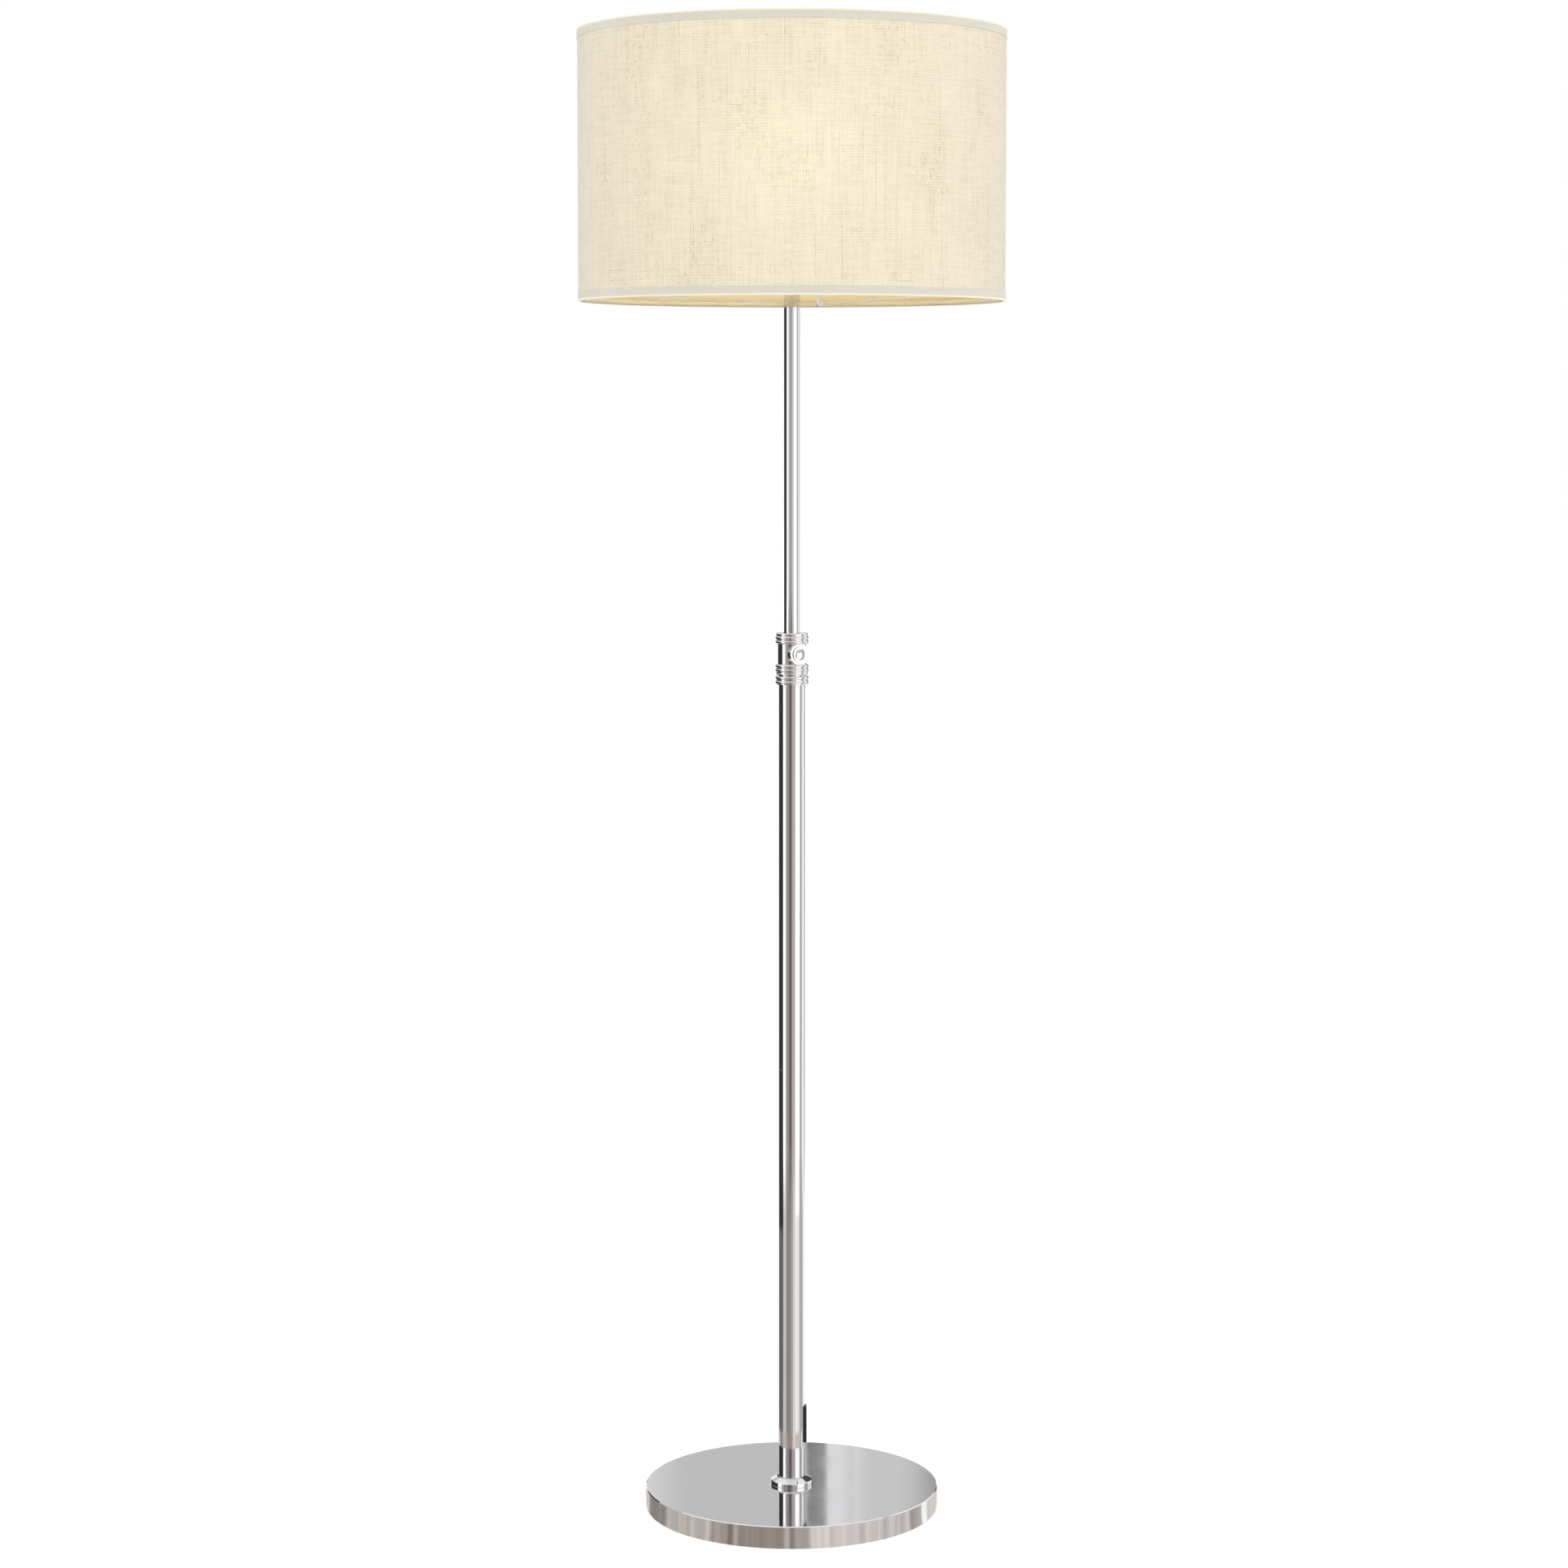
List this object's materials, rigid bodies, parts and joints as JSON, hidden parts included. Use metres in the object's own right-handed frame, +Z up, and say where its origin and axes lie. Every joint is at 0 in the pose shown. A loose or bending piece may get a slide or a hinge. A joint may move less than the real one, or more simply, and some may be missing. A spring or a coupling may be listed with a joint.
{
  "type": "telescopic floor lamp",
  "caption": "Telescopic floor lamp: round weighted base, chrome pole in sections, ridged clamp collar with a thumb screw, side rocker switch and fabric drum shade.",
  "frame": {"origin": "centre of the base's underside, on the floor", "axes": "+Z up along the pole, -Y towards the viewer of the picture, +X to the side with the switch, +Y to the rear, where the cord leaves the base"},
  "size_m": [0.4, 0.4, 1.402],
  "materials": {
    "chrome_plate": "polished",
    "zinc_plate": "satin",
    "casting": "matte",
    "felt": "matte",
    "black_rubber": "matte",
    "black_plastic": "satin",
    "white_plastic": "satin",
    "nylon": "matte",
    "brass": "satin",
    "ceramic": "satin",
    "bulb_cap_metal": "satin",
    "opal_globe": "satin",
    "white_wire": "gloss",
    "liner_film": "matte",
    "linen_fabric": "matte",
    "edging_tape": "matte"
  },
  "bodies": {
    "base": {"base_pad": "felt", "base_cover": "chrome_plate", "base_weight": "casting", "cord_grommet": "black_rubber", "base_stud": "zinc_plate", "base_washer": "zinc_plate", "base_nut": "zinc_plate", "foot_plug": "zinc_plate", "foot_collar": "chrome_plate", "lower_tube": "chrome_plate", "tube_joiner": "zinc_plate", "middle_tube": "chrome_plate", "end_ring": "chrome_plate", "clamp_collar": "chrome_plate", "collar_bush": "nylon", "switch_housing": "black_plastic", "switch_terminals": "brass", "rocker_pin": "zinc_plate"},
    "switch_rocker": {"switch_rocker": "black_plastic", "contact_bridge": "brass"},
    "clamp_pad": {"clamp_pad": "brass"},
    "thumb_screw": {"thumb_screw": "chrome_plate"},
    "pole_guide": {"guide_bush": "nylon"},
    "upper_pole": {"bush_clip": "zinc_plate", "inner_tube": "chrome_plate", "pole_insert": "zinc_plate", "holder_nipple": "zinc_plate", "holder_nut": "zinc_plate", "holder_cap": "white_plastic", "holder_skirt": "white_plastic", "contact_block": "ceramic", "thread_sleeve": "brass", "centre_contact": "brass", "terminal_screws": "zinc_plate", "shade_ring_lower": "white_plastic", "shade_ring_upper": "white_plastic", "bulb_tip": "zinc_plate", "bulb_insulator": "black_plastic", "bulb_cap": "bulb_cap_metal", "bulb_housing": "white_plastic", "bulb_globe": "opal_globe", "shade_frame": "white_wire", "top_ring": "white_wire", "shade_liner": "liner_film", "shade_fabric": "linen_fabric", "trim_top": "edging_tape", "trim_bottom": "edging_tape"}
  },
  "joints": [
    {"name": "pole_slide", "type": "slide", "parent": "base", "child": "pole_guide", "axis": [0, 0, 1], "range_m": [-0.29, 0.035]},
    {"name": "pole_turn", "type": "hinge", "parent": "pole_guide", "child": "upper_pole", "pos_m": [0, 0, 0.76], "axis": [0, 0, 1], "range_deg": [-180, 180]},
    {"name": "clamp_travel", "type": "slide", "parent": "base", "child": "clamp_pad", "axis": [0.5225, -0.8526, 0], "range_m": [0, 0.0016]},
    {"name": "screw_turn", "type": "hinge", "parent": "clamp_pad", "child": "thumb_screw", "pos_m": [0.00732, -0.01194, 0.82185], "axis": [0.5225, -0.8526, 0], "range_deg": [0, 720]},
    {"name": "switch_rock", "type": "hinge", "parent": "base", "child": "switch_rocker", "pos_m": [0.0096, 0, 0.0806], "axis": [0, 1, 0], "range_deg": [0, 7]}
  ],
  "couplings": [
    {"joint": "screw_turn", "follows": "clamp_travel", "rad_per_m": 7854}
  ]
}
